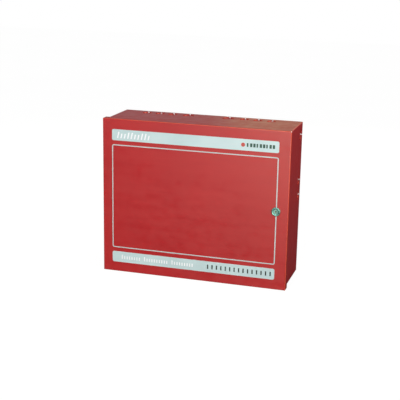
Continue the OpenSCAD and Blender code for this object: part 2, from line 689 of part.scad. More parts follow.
module battery_stop_rivets() color([0.75, 0.76, 0.78]) for (x = stop_rivet_x) {
  rod_z(x, batt_front - 9, floor_z + 1.5, floor_z + 2.7, 3.6);
  rod_z(x, batt_front - 9, floor_z, floor_z + 1.5 + eps, 2);
}

// ---- Leads ----
module positive_lead() color([0.75, 0.08, 0.08]) lead(positive_route, lead_r);
module negative_lead() color([0.07, 0.07, 0.08]) lead(negative_route, lead_r);
module link_lead() color([0.75, 0.08, 0.08]) lead(link_route, lead_r);
module earth_lead() color([0.3, 0.6, 0.2]) lead(earth_route, earth_r);

module ring_lug(x) difference() {
  union() {
    rod_y(x, term_hole_z, lug_y, lug_y + 1, 5);
    block([x - 2.5, lug_y, term_hole_z], [x + 2.5, lug_y + 1, term_hole_z + 7]);
    rod_z(x, lug_y, term_hole_z + 6, term_hole_z + 14, 2.8);
  }
  rod_y(x, term_hole_z, lug_y - 4, lug_y + 3, bolt_r + 0.15);
  rod_z(x, lug_y, term_hole_z + 10, term_hole_z + 15, lead_r + 0.05);
}

module lead_lugs() color([0.78, 0.78, 0.75]) {
  for (x = term_x) ring_lug(x);
  difference() {
    union() {
      rod_x(earth_y, earth_z, -in_x + 5.6, -in_x + 6.6, 4.5);
      block([-in_x + 5.6, earth_y - 2, earth_z - 8], [-in_x + 6.6, earth_y + 2, earth_z]);
      rod_z(earth_lug_x, earth_y, earth_z - 15, earth_z - 7, 2.2);
    }
    rod_x(earth_y, earth_z, -in_x, -in_x + 10, 2.1);
    rod_z(earth_lug_x, earth_y, earth_z - 16, earth_z - 10, earth_r + 0.05);
  }
}

module earth_stud() color([0.7, 0.6, 0.35]) {
  rod_x(earth_y, earth_z, -in_x, -in_x + 1.2, 4);
  rod_x(earth_y, earth_z, -in_x + 1.2 - eps, -in_x + 13, 2);
}

module earth_nut() color([0.75, 0.76, 0.78]) difference() {
  rod_x(earth_y, earth_z, -in_x + 6.7, -in_x + 9.9, 7 / sqrt(3), 6);
  rod_x(earth_y, earth_z, -in_x, -in_x + 12, 2.05);
}

back_box();
hinge_body_leaf();
hinge_pin();
hinge_body_rivets();
door_bumpers();
mounting_plate();
plate_studs();
plate_nuts();
charger_board();
board_standoffs();
board_screws();
terminal_blocks();
terminal_screws();
transformer_core();
transformer_coil();
transformer_frame();
transformer_screws();
transformer_leads();
heatsink();
power_transistors();
capacitors();
relays();
fuse_clips();
fuse_tubes();
status_leds();
ic_chips();
sounder();
reset_switch();
reset_cap();
battery_left_case();
battery_left_lid();
battery_right_case();
battery_right_lid();
battery_terminals();
battery_bolts();
battery_pads();
battery_stop();
battery_stop_rivets();
positive_lead();
negative_lead();
link_lead();
lead_lugs();
earth_stud();
earth_nut();
earth_lead();
door_panel();
hinge_door_leaf();
hinge_door_rivets();
top_label();
bottom_label();
outline_stripe();
lock_barrel();
lock_washer();
lock_nut();
door_stud();
door_nut();
door_lug();
lock_plug();
lock_cam();
cam_screw();
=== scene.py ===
"""Red wall cabinet of a fire alarm system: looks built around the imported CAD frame.

The frame is in metres and the front faces -Y. Shapes are drawn in millimetres, and Shape.make turns
them into metres. Boxes and lists of solids are in millimetres too.
"""
import math
import random

import bmesh
import bpy
from mathutils import Matrix, Vector


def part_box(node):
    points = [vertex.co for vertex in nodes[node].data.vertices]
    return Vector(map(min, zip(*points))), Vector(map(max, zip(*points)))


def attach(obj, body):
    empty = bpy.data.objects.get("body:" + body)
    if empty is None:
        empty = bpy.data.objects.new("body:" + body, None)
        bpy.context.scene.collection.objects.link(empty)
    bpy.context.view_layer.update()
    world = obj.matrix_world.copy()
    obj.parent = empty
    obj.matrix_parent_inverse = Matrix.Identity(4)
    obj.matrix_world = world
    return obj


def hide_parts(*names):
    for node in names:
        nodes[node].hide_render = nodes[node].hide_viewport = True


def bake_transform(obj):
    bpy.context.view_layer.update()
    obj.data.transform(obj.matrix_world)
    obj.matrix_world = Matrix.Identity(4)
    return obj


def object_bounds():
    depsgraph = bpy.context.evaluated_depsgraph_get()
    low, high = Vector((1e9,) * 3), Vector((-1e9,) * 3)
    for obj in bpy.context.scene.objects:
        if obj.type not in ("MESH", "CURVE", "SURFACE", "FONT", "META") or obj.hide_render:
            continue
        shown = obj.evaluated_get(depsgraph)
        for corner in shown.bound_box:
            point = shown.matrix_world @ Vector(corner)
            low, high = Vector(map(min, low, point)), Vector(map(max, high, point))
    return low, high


MM = 0.001
WELD = 2e-6                     # metres: corners of a CAD mesh that are closer than this are one
UP, RIGHT, FORWARD = Vector((0, 0, 1)), Vector((1, 0, 0)), Vector((0, -1, 0))
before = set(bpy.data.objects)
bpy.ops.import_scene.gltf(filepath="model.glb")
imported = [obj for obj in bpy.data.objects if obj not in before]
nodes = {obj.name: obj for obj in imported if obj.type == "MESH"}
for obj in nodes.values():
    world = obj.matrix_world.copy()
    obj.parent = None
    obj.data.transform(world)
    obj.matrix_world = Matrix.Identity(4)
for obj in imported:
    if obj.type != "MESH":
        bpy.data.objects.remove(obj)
cad_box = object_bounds()


# ---------------------------------------------------------------- materials
class Paint:
    """One procedural material: a Principled shader and short ways to add noise, ramps and bump."""

    def __init__(self, name):
        self.mat = bpy.data.materials.new(name)
        self.mat.use_nodes = True
        self.tree = self.mat.node_tree
        self.shader = self.tree.nodes["Principled BSDF"]
        self.place = self.tree.nodes.new("ShaderNodeTexCoord")
        self.coords = self.place.outputs["Object"]

    def feed(self, socket, value):
        """Gives a socket a link, if the value is another node's output, or else a fixed value."""
        if isinstance(value, bpy.types.NodeSocket):
            self.tree.links.new(value, socket)
        else:
            socket.default_value = value

    def node(self, kind, **inputs):
        made = self.tree.nodes.new(kind)
        for key, value in inputs.items():
            self.feed(made.inputs[key.replace("_", " ")], value)
        return made

    def set(self, **inputs):
        for key, value in inputs.items():
            self.feed(self.shader.inputs[key.replace("_", " ")], value)

    def noise(self, scale, detail=2.0, vector=None, roughness=0.5):
        made = self.node("ShaderNodeTexNoise", Vector=vector or self.coords, Scale=scale,
                         Detail=detail, Roughness=roughness)
        return made.outputs["Fac"]

    def wave(self, direction, **inputs):
        made = self.node("ShaderNodeTexWave", Vector=self.coords, **inputs)
        made.bands_direction = direction
        return made.outputs["Fac"]

    def stretched(self, x, y, z):
        return self.node("ShaderNodeMapping", Vector=self.coords, Scale=(x, y, z)).outputs["Vector"]

    def ramp(self, fac, *stops):
        """Colour ramp through (place, colour) stops."""
        made = self.node("ShaderNodeValToRGB", Fac=fac)
        points = made.color_ramp.elements
        while len(points) < len(stops):
            points.new(0.5)
        for point, (place, color) in zip(points, stops):
            point.position = place
            point.color = (*color, 1.0)
        return made.outputs["Color"]

    def level(self, fac, low, high, start=0.3, stop=0.7):
        """Number that goes from low to high while fac goes from start to stop."""
        made = self.node("ShaderNodeMapRange", Value=fac, From_Min=start, From_Max=stop,
                         To_Min=low, To_Max=high)
        return made.outputs["Result"]

    def math(self, operation, a, b=0.0):
        made = self.tree.nodes.new("ShaderNodeMath")
        made.operation = operation
        self.feed(made.inputs[0], a)
        self.feed(made.inputs[1], b)
        return made.outputs[0]

    def weighed(self, *parts):
        """Sum of (value, share) parts."""
        value, share = parts[0]
        total = self.math("MULTIPLY", value, share)
        for value, share in parts[1:]:
            total = self.math("ADD", total, self.math("MULTIPLY", value, share))
        return total

    def bend_highlight_mask(self):
        """1 where the surface leans between two faces, as on a bend, and 0 on the faces; the mask
        of the painted highlight on the bends.
        """
        split = self.node("ShaderNodeSeparateXYZ", Vector=self.place.outputs["Normal"])
        x, y, z = (self.math("ABSOLUTE", axis) for axis in split.outputs)
        most = self.math("MAXIMUM", self.math("MAXIMUM", x, y), z)
        return self.level(most, 1.0, 0.0, 0.74, 0.97)

    def bump(self, height, distance, strength=1.0, under=None):
        """Bump of this height, on top of another one if it is given."""
        made = self.node("ShaderNodeBump", Height=height, Distance=distance, Strength=strength)
        if under:
            self.feed(made.inputs["Normal"], under)
        return made.outputs["Normal"]


def shades(color, amount):
    """A darker and a lighter neighbour of a colour."""
    return tuple(c * (1 - amount) for c in color), tuple(min(1.0, c * (1 + amount)) for c in color)


def moulded(name, color, rough=0.5, grain=900.0, depth=0.00004, spread=0.1, metallic=0.0):
    """Plain moulded, cast or printed stuff with cloudy colour, uneven gloss and a fine grain."""
    p = Paint(name)
    low, high = shades(color, spread)
    p.set(Base_Color=p.ramp(p.noise(35.0, 4.0), (0.35, low), (0.65, high)), Metallic=metallic,
          Roughness=p.level(p.noise(120.0, 3.0), rough * 0.82, min(1.0, rough * 1.18)),
          Normal=p.bump(p.noise(grain, 3.0), depth))
    return p.mat


def red_powder():
    """Red powder coat: orange peel, slow waves, wiped streaks, and a painted highlight: a lighter,
    more orange colour on the bends.
    """
    p = Paint("red_powder_coat")
    cloud = p.noise(5.5, 3.0, roughness=0.6)
    wiped = p.noise(11.0, 4.0, p.stretched(0.6, 1.0, 5.0), 0.65)
    speck = p.noise(1500.0, 2.0)
    coat = p.ramp(p.weighed((cloud, 0.45), (wiped, 0.3), (speck, 0.25)),
                  (0.36, (0.42, 0.0108, 0.0155)), (0.64, (0.485, 0.0148, 0.0186)))
    # painted highlight: a lighter, more orange colour mixed in where the surface turns between
    # faces
    bend_highlight = p.node("ShaderNodeMixRGB", Fac=p.math("MULTIPLY", p.bend_highlight_mask(), 0.85), Color1=coat,
                  Color2=(0.86, 0.15, 0.07, 1.0))
    gloss = p.weighed((wiped, 0.5), (p.noise(55.0, 4.0), 0.5))
    waves = p.bump(p.noise(9.0, 1.0), 0.0004, 0.35)
    p.set(Base_Color=bend_highlight.outputs["Color"], Roughness=p.level(gloss, 0.28, 0.54),
          Coat_Weight=0.12, Coat_Roughness=0.3,
          Normal=p.bump(p.noise(620.0, 2.0, roughness=0.4), 0.00006, 0.55, waves))
    return p.mat


def drawn(name, color=(0.43, 0.44, 0.46), rough=0.42, streak=(30.0, 30.0, 400.0), metallic=1.0):
    """Plated or plain metal with faint drawn streaks."""
    p = Paint(name)
    low, high = shades(color, 0.12)
    lines = p.noise(18.0, 4.0, p.stretched(*streak))
    p.set(Base_Color=p.ramp(lines, (0.3, low), (0.7, high)), Metallic=metallic,
          Roughness=p.level(p.noise(90.0, 3.0), rough * 0.8, rough * 1.25),
          Normal=p.bump(lines, 0.00002, 0.4))
    return p.mat


def galvanised():
    """Galvanised sheet: flat crystal flakes of slightly different grey and gloss."""
    p = Paint("galvanised_sheet")
    flakes = p.node("ShaderNodeTexVoronoi", Vector=p.coords, Scale=240.0)
    grey = p.node("ShaderNodeSeparateColor", Color=flakes.outputs["Color"]).outputs[0]
    p.set(Base_Color=p.ramp(grey, (0.0, (0.34, 0.35, 0.365)), (1.0, (0.45, 0.465, 0.475))),
          Metallic=0.85, Roughness=p.level(grey, 0.42, 0.58, 0.0, 1.0),
          Normal=p.bump(p.noise(220.0), 0.00003, 0.5))
    return p.mat


def label_film():
    """Pale blue-grey printed film with a satin skin."""
    p = Paint("label_film")
    cloud = p.noise(14.0, 3.0)
    p.set(Base_Color=p.ramp(cloud, (0.35, (0.53, 0.66, 0.715)), (0.65, (0.59, 0.715, 0.77))),
          Roughness=p.level(p.noise(80.0, 2.0), 0.3, 0.42),
          Normal=p.bump(p.noise(1400.0, 1.0), 0.00001, 0.5))
    return p.mat


def board_mask():
    """Green solder mask over patches of parallel copper tracks: upright, level or plain."""
    p = Paint("solder_mask")
    patch = p.node("ShaderNodeTexVoronoi", Vector=p.coords, Scale=62.0)
    patch.distance = "CHEBYCHEV"
    pick = p.node("ShaderNodeSeparateColor", Color=patch.outputs["Color"])
    lanes = [p.level(p.wave(way, Scale=210.0), 0.0, 1.0, 0.55, 0.75) for way in "XZ"]
    turned = p.math("GREATER_THAN", pick.outputs[0], 0.5)
    tracks = p.weighed((lanes[0], turned), (lanes[1], p.math("SUBTRACT", 1.0, turned)))
    tracks = p.math("MAXIMUM", tracks, p.math("GREATER_THAN", pick.outputs[1], 0.6))
    p.set(Base_Color=p.ramp(tracks, (0.0, (0.009, 0.095, 0.04)), (1.0, (0.017, 0.15, 0.062))),
          Roughness=p.level(p.noise(140.0, 2.0), 0.22, 0.34), Coat_Weight=0.3,
          Coat_Roughness=0.15, Normal=p.bump(tracks, 0.00003, 0.5))
    return p.mat


def laminations():
    """Stacked transformer sheets: fine dark lines between varnished grey steel, along Y."""
    p = Paint("core_laminations")
    lines = p.wave("Y", Scale=620.0, Distortion=0.4, Detail=1.0)
    p.set(Base_Color=p.ramp(lines, (0.2, (0.07, 0.06, 0.055)), (0.7, (0.24, 0.22, 0.2))),
          Metallic=0.6, Roughness=p.level(p.noise(60.0), 0.4, 0.6),
          Normal=p.bump(lines, 0.00012, 0.7))
    return p.mat


def wound_tape():
    """Amber polyester tape over the winding."""
    p = Paint("winding_tape")
    turns = p.wave("Z", Scale=130.0, Distortion=1.2, Detail=2.0)
    p.set(Base_Color=p.ramp(p.noise(40.0, 3.0), (0.3, (0.5, 0.3, 0.04)), (0.7, (0.66, 0.43, 0.08))),
          Roughness=p.level(p.noise(90.0), 0.22, 0.38), Coat_Weight=0.4, Coat_Roughness=0.12,
          Normal=p.bump(turns, 0.00015, 0.6))
    return p.mat


def earth_sheath():
    """Green sheath with a yellow stripe that winds around it."""
    p = Paint("earth_sheath")
    stripe = p.wave("DIAGONAL", Scale=70.0)
    p.set(Base_Color=p.ramp(stripe, (0.62, (0.05, 0.3, 0.06)), (0.68, (0.72, 0.6, 0.04))),
          Roughness=p.level(p.noise(300.0), 0.3, 0.45), Normal=p.bump(p.noise(900.0), 0.00002))
    return p.mat


def glass():
    """Clear glass with a faint film on it."""
    p = Paint("fuse_glass")
    p.set(Base_Color=p.ramp(p.noise(60.0), (0.3, (0.86, 0.9, 0.9)), (0.7, (0.95, 0.97, 0.97))),
          Roughness=p.level(p.noise(90.0), 0.02, 0.08), Transmission_Weight=0.85, IOR=1.48)
    return p.mat


# moulded: name, colour, roughness, grain's scale and depth, spread of tone, metallic
# drawn: name, colour, roughness, stretch of the streaks, metallic
M = {
    "red": red_powder(),
    "zinc": drawn("zinc_plate"),
    "bright": drawn("bright_nickel", (0.56, 0.55, 0.52), 0.38),
    "lock": drawn("lock_chrome", (0.165, 0.365, 0.335), 0.32, (1.0, 1.0, 1.0), 0.9),
    "plug": drawn("lock_plug_chrome", (0.23, 0.445, 0.425), 0.3, (1.0, 1.0, 1.0), 0.9),
    # near white: a painted glint, used on the knockout tie nibs and the door's corner
    "tie": moulded("bare_tie_steel", (0.93, 0.94, 0.93), 0.3, 700.0, 0.00002, 0.03),
    "brass": drawn("machined_brass", (0.52, 0.37, 0.13), 0.38),
    # black as painted shade: the battery stop is darkened so the vent slots in front of it look
    # shaded
    "black_paint": moulded("shade_black_coat", (0.018, 0.018, 0.02), 0.4, 700.0, 0.00005, 0.2),
    "galv": galvanised(),
    "film": label_film(),
    "line": moulded("printed_line", (0.53, 0.585, 0.625), 0.4, 1500.0, 0.00001, 0.05),
    "ink_white": moulded("ink_white", (0.9, 0.91, 0.98), 0.4, 1500.0, 0.00001, 0.03),
    "ink_dark": moulded("ink_dark_green", (0.012, 0.075, 0.06), 0.4, 1500.0, 0.00001, 0.1),
    "ink_red": moulded("ink_red", (0.55, 0.07, 0.06), 0.4, 1500.0, 0.00001, 0.08),
    "rubber": moulded("black_rubber", (0.02, 0.02, 0.021), 0.78, 700.0, 0.00006, 0.2),
    "case": moulded("battery_case_plastic", (0.045, 0.048, 0.052), 0.5, 1200.0, 0.00005, 0.15),
    "lid": moulded("battery_lid_plastic", (0.02, 0.021, 0.023), 0.45, 1200.0, 0.00005, 0.2),
    "mask": board_mask(),
    "block": moulded("block_plastic_green", (0.02, 0.16, 0.06), 0.42, 900.0, 0.00003, 0.12),
    "relay": moulded("relay_plastic_blue", (0.02, 0.07, 0.3), 0.35, 900.0, 0.00002, 0.1),
    "black": moulded("black_plastic", (0.018, 0.018, 0.02), 0.45, 1000.0, 0.00003, 0.2),
    "white_cap": moulded("ivory_plastic", (0.72, 0.71, 0.66), 0.4, 900.0, 0.00002, 0.06),
    "core": laminations(),
    "tape": wound_tape(),
    "fins": moulded("black_anodised", (0.02, 0.02, 0.023), 0.42, 600.0, 0.00003, 0.15, 0.5),
    "sleeve": moulded("sleeve_blue", (0.012, 0.02, 0.09), 0.25, 800.0, 0.00001, 0.12),
    "glass": glass(),
    "lens": moulded("lamp_lens_green", (0.05, 0.5, 0.08), 0.15, 500.0, 0.00001, 0.1),
    "wire_red": moulded("sheath_red", (0.5, 0.012, 0.012), 0.32, 900.0, 0.00002, 0.1),
    "wire_black": moulded("sheath_black", (0.015, 0.015, 0.017), 0.34, 900.0, 0.00002, 0.15),
    "wire_yellow": moulded("sheath_yellow", (0.62, 0.45, 0.03), 0.32, 900.0, 0.00002, 0.08),
    "earth": earth_sheath(),
    "ceramic": moulded("ceramic_tan", (0.42, 0.27, 0.13), 0.4, 900.0, 0.00002, 0.1),
    "band": moulded("battery_band_film", (0.62, 0.64, 0.64), 0.38, 1400.0, 0.00001, 0.06),
    "band_ink": moulded("battery_band_ink", (0.03, 0.12, 0.2), 0.4, 1500.0, 0.00001, 0.08),
}

# The finish of every CAD node that stays in view: its material, and its bevel's width in mm
FINISH = {
    "red": {"back_box": 0.25, "hinge_body_leaf": 0.15, "hinge_body_rivets": 0.45,
            "door_panel": 0.25, "hinge_door_leaf": 0.15, "hinge_door_rivets": 0.45},
    "zinc": {"hinge_pin": 0.2, "plate_studs": 0.3, "plate_nuts": 0.3, "board_screws": 0.25,
             "terminal_screws": 0.2, "transformer_screws": 0.25, "battery_bolts": 0.3,
             "battery_stop_rivets": 0.4, "earth_nut": 0.3, "lock_washer": 0.2, "lock_nut": 0.4,
             "door_nut": 0.3, "lock_cam": 0.25, "cam_screw": 0.25},
    "bright": {"fuse_clips": 0.15, "battery_terminals": 0.3, "lead_lugs": 0.2, "door_lug": 0.2},
    "brass": {"board_standoffs": 0.25, "earth_stud": 0.25, "door_stud": 0.25},
    "galv": {"mounting_plate": 0.3, "transformer_frame": 0.25},
    "rubber": {"door_bumpers": 0.8, "battery_pads": 0.5},
    "film": {"top_label": 0.08, "bottom_label": 0.08},
    "line": {"outline_stripe": 0.05},
    "plug": {"lock_plug": 0.25},
    "mask": {"charger_board": 0.15},
    "block": {"terminal_blocks": 0.3},
    "core": {"transformer_core": 0.4},
    "fins": {"heatsink": 0.25},
    "relay": {"relays": 0.5},
    "black": {"power_transistors": 0.3, "ic_chips": 0.25, "reset_switch": 0.4},
    "white_cap": {"reset_cap": 0.6},
    "case": {"battery_left_case": 0.9, "battery_right_case": 0.9},
    "lid": {"battery_left_lid": 0.6, "battery_right_lid": 0.6},
    # battery stop in black: painted shade behind the vent slots
    "black_paint": {"battery_stop": 0.3},
}


def soften(obj, width):
    """Rounds the edges by a width in mm and evens the shading, with modifiers."""
    bevel = obj.modifiers.new("bevel", "BEVEL")
    bevel.width = width * MM
    bevel.segments = 2
    bevel.limit_method = "ANGLE"
    bevel.angle_limit = math.radians(40)
    obj.modifiers.new("normals", "WEIGHTED_NORMAL").weight = 100


def finish_node(node, material, bevel):
    """Gives a CAD node its material and rounds its edges; its mesh stays as packed."""
    obj = nodes[node]
    obj.data.materials.clear()
    obj.data.materials.append(M[material])
    obj.modifiers.new("weld", "WELD").merge_threshold = WELD
    flat = obj.modifiers.new("flat", "DECIMATE")
    flat.decimate_type = "DISSOLVE"
    flat.angle_limit = math.radians(0.4)
    soften(obj, bevel)


for material, bevels in FINISH.items():
    for node, bevel in bevels.items():
        finish_node(node, material, bevel)


def box_mm(node):
    """Lowest and highest corner of a CAD node."""
    lo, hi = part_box(node)
    return lo / MM, hi / MM


def middle(box):
    return (box[0] + box[1]) / 2


def solids(node):
    """Boxes of a node's separate solids, from low to high and left to right."""
    bm = bmesh.new()
    bm.from_mesh(nodes[node].data)
    bmesh.ops.remove_doubles(bm, verts=bm.verts, dist=WELD)
    left = set(bm.verts)
    boxes = []
    while left:
        stack = [left.pop()]
        found = []
        while stack:
            vert = stack.pop()
            found.append(vert.co / MM)
            for edge in vert.link_edges:
                other = edge.other_vert(vert)
                if other in left:
                    left.remove(other)
                    stack.append(other)
        boxes.append([Vector(f(c[i] for c in found) for i in range(3)) for f in (min, max)])
    bm.free()
    return sorted(boxes, key=lambda b: (round(b[0].z, 1), round(b[0].x, 1)))


def smooth_path(points, steps):
    """One smooth curve that passes through each of the points."""
    points = [Vector(p) for p in points]
    path = []
    for i in range(len(points) - 1):
        a, b, c, d = (points[min(max(k, 0), len(points) - 1)] for k in range(i - 1, i + 3))
        for k in range(steps):
            t = k / steps
            path.append(0.5 * (2 * b + (c - a) * t + (2 * a - 5 * b + 4 * c - d) * t * t
                               + (3 * b - a - 3 * c + d) * t ** 3))
    return path + [points[-1]]


def round_corners(x0, x1, y0, y1, corner, steps):
    """Points around a rectangle with round corners, each in this many steps."""
    points = []
    for x, y, start in ((x1 - corner, y1 - corner, 0), (x0 + corner, y1 - corner, 90),
                        (x0 + corner, y0 + corner, 180), (x1 - corner, y0 + corner, 270)):
        for step in range(steps + 1):
            t = math.radians(start + 90 * step / steps)
            points.append((x + corner * math.cos(t), y + corner * math.sin(t)))
    return points


def oval(x, y, z, half_x, half_y, corner, steps=6):
    """Level loop of points around a rectangle with round corners."""
    outline = round_corners(x - half_x, x + half_x, y - half_y, y + half_y, corner, steps)
    return [Vector((u, v, z)) for u, v in outline]


class Shape:
    """Mesh of one piece, put together from blocks, prisms, lathed rings and tubes."""

    def __init__(self):
        self.bm = bmesh.new()

    def block(self, lo, hi):
        for vert in bmesh.ops.create_cube(self.bm, size=1.0)["verts"]:
            vert.co = [(a + b) / 2 + c * (b - a) for a, b, c in zip(lo, hi, vert.co)]

    def prism(self, outline, push):
        """Closed outline of points, pushed along a vector."""
        self.rings([outline, [p + push for p in outline]])

    def rings(self, loops, joined=False):
        """Skin over loops of equally many points: closed at both ends, or joined in a ring."""
        loops = [[self.bm.verts.new(p) for p in loop] for loop in loops]
        pairs = list(zip(loops, loops[1:]))
        if joined:
            pairs.append((loops[-1], loops[0]))
        for a, b in pairs:
            for i in range(len(a)):
                k = (i + 1) % len(a)
                self.bm.faces.new((a[i], a[k], b[k], b[i]))
        if not joined:
            self.bm.faces.new(loops[0][::-1])
            self.bm.faces.new(loops[-1])

    def lathe(self, centre, axis, profile, sides, bore=False, limit=None):
        """Turns (distance, radius) pairs about an axis; limit(angle) caps the radius, for flats."""
        turn = UP.rotation_difference(Vector(axis).normalized()).to_matrix()
        loops = []
        for along, radius in profile:
            loop = []
            for i in range(sides):
                angle = 2 * math.pi * i / sides
                r = min(radius, limit(angle)) if limit else radius
                spoke = Vector((r * math.cos(angle), r * math.sin(angle), along))
                loop.append(Vector(centre) + turn @ spoke)
            loops.append(loop)
        self.rings(loops, joined=bore)

    def tube(self, path, radius, sides):
        """Round tube along a path; radius is a number, or a function of the share of the path."""
        side = Vector((0, 1, 0.01)).normalized()
        loops = []
        for i, point in enumerate(path):
            ahead = (path[min(i + 1, len(path) - 1)] - path[max(i - 1, 0)]).normalized()
            side = (side - ahead * side.dot(ahead)).normalized()
            up = ahead.cross(side)
            r = radius(i / (len(path) - 1)) if callable(radius) else radius
            angles = [2 * math.pi * k / sides for k in range(sides)]
            loops.append([point + side * (r * math.cos(t)) + up * (r * math.sin(t))
                          for t in angles])
        self.rings(loops)

    def make(self, name, material, slot, body="root", replaces=(), bevel=0.0, sharp=38):
        """Turns the shape into a piece that rides on a body."""
        bmesh.ops.recalc_face_normals(self.bm, faces=self.bm.faces)
        mesh = bpy.data.meshes.new(name)
        self.bm.to_mesh(mesh)
        self.bm.free()
        mesh.transform(Matrix.Scale(MM, 4))
        mesh.materials.append(M[material])
        mesh.shade_smooth()
        mesh.set_sharp_from_angle(angle=math.radians(sharp))
        obj = bpy.data.objects.new(name, mesh)
        bpy.context.scene.collection.objects.link(obj)
        if bevel:
            soften(obj, bevel)
        if body:
            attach(obj, body)
        if replaces:
            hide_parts(*replaces)
        return obj


# ---------------------------------------------------------------- print and slots on the labels
INK = 0.05                      # how far print stands up
# The vent slots of the lower strip: count, first one's x, pitch, width, height, and width of the
# dark border painted around each slot as shade
SLOTS, SLOT_FIRST, SLOT_PITCH, SLOT_W, SLOT_H, SLOT_EDGE = 15, 38.9, 10.97, 2.4, 10.0, 0.35


def mark(shape, face, x, z, width, height, slant=0.0, corner=0.8):
    """One printed block with round corners on a label; x and z are its lower left corner."""
    corner = min(corner, width / 2 - 0.01)
    outline = [Vector((x + u + slant * v, face, z + v))
               for u, v in round_corners(0, width, 0, height, corner, 3)]
    shape.prism(outline, FORWARD * INK)


def label_print():
    """Plain strokes and blocks where the cabinet's titles are printed; they spell nothing."""
    top, low = box_mm("top_label"), box_mm("bottom_label")
    left, face, right, mid = top[0].x, top[0].y, top[1].x, middle(top).z
    title = Shape()
    for i in range(10):
        tall = 15.5 if i % 4 in (0, 3) else 11.5
        mark(title, face, left + 12.5 + 8.6 * i, mid - 7.7, 3.4, tall, 0.22)
    title.make("title_print", "ink_white", "label_film", "door")
    dot = Shape()
    dot.lathe((right - 85, face, mid), FORWARD, [(0, 4.8), (INK, 4.8)], 32)
    dot.make("emblem_disc", "ink_red", "label_film", "door")
    bars = Shape()
    for i in range(9):
        mark(bars, face, right - 76 + 7.6 * i, mid - 4.4, 5.4 if i % 3 else 3.6, 8.8)
    bars.make("emblem_bars", "ink_dark", "label_film", "door")
    line = Shape()
    x = left + 24
    for strokes in (8, 10, 9):
        for i in range(strokes):
            mark(line, low[0].y, x, middle(low).z - 5.0, 2.8, 8.0 if i else 11.0, corner=0.6)
            x += 6.4
        x += 7.0
    line.make("caption_print", "ink_white", "label_film", "door")


def slot_shade_screens():
    """Black sheets just inside the vent slots as painted shade, and a dark border painted around
    each slot as shade.
    """
    low = box_mm("bottom_label")
    face, mid = low[0].y, middle(low).z
    half_w, half_h = SLOT_W / 2, SLOT_H / 2
    tall = SLOT_H + 2 * SLOT_EDGE
    shade_screens, shade_border = Shape(), Shape()
    for i in range(SLOTS):
        x = SLOT_FIRST + SLOT_PITCH * i
        # black sheet just behind the slot: painted shade seen through it
        shade_screens.block((x - half_w, face + 0.1, mid - half_h),
                      (x + half_w, face + 0.7, mid + half_h))
        # dark rim around the slot: painted shade
        for side in (-half_w - SLOT_EDGE, half_w):
            mark(shade_border, face, x + side, mid - tall / 2, SLOT_EDGE, tall, corner=0.1)
        for end in (-half_h - SLOT_EDGE, half_h):
            mark(shade_border, face, x - half_w, mid + end, SLOT_W, SLOT_EDGE, corner=0.01)
    shade_screens.make("slot_shade_screens", "rubber", "black_rubber", "door")
    shade_border.make("slot_shade_borders", "ink_dark", "label_film", "door")


label_print()
slot_shade_screens()

# ---------------------------------------------------------------- knockouts, and a painted glint on the door's corner
KO_ROW, KO_SINK, KO_OFF = 29.0, 1.7, -2.4       # centres from the wall, depth, shift of the row
KO_LARGE, KO_SMALL = 14.1, 11.1                 # radii of the recesses
KO_TOP = ((50.8, KO_LARGE), (91.2, KO_SMALL), (124.2, KO_SMALL), (158.0, KO_SMALL))
KO_SIDE = (160.8, 49.5, 13.3)


def tie_nibs():
    """Nibs where each blank's front tie is sheared and its burr stands up, coloured near white as a
    painted glint.
    """
    lo, hi = box_mm("back_box")
    shape = Shape()

    def nib(rim, along, out):
        """A wedge that stands on the recess's floor against its rim and leans a little over it."""
        half = along * 1.6
        outline = [rim + out * rise + Vector((0, back, 0)) for rise, back in
                   ((-KO_SINK, -1.7), (-KO_SINK, 0.4), (1.25, 0.3), (1.35, -0.5))]
        shape.prism([p - half for p in outline], half * 2)

    for side in (-1, 1):
        for x, r in KO_TOP:
            nib(Vector((KO_OFF + side * x, r - KO_ROW, hi.z)), RIGHT, UP)
    for edge, side in ((lo.x, -1), (hi.x, 1)):
        for z in KO_SIDE:
            nib(Vector((edge, KO_SMALL - KO_ROW, z)), UP, RIGHT * side)
    shape.make("knockout_ties", "tie", "zinc_steel", "root", bevel=0.12)


def corner_glint():
    """A painted glint: a small near-white lens on the door's upper right corner."""
    lo, hi = box_mm("door_panel")
    out = Vector((1, -1, 1)).normalized()
    corner = Vector((hi.x, lo.y, hi.z)) - Vector((0.9, -0.9, 0.9))
    shape = Shape()
    shape.lathe(corner - out * 0.35, out, [(0, 1.15), (0.3, 1.1), (0.42, 0.8), (0.46, 0.3)], 20)
    # near-white lens: a painted glint on the corner
    shape.make("corner_glint", "tie", "zinc_steel", "door", sharp=60)


tie_nibs()
corner_glint()

# ---------------------------------------------------------------- cam lock
KEYWAY = 1.1                    # half the keyway's width


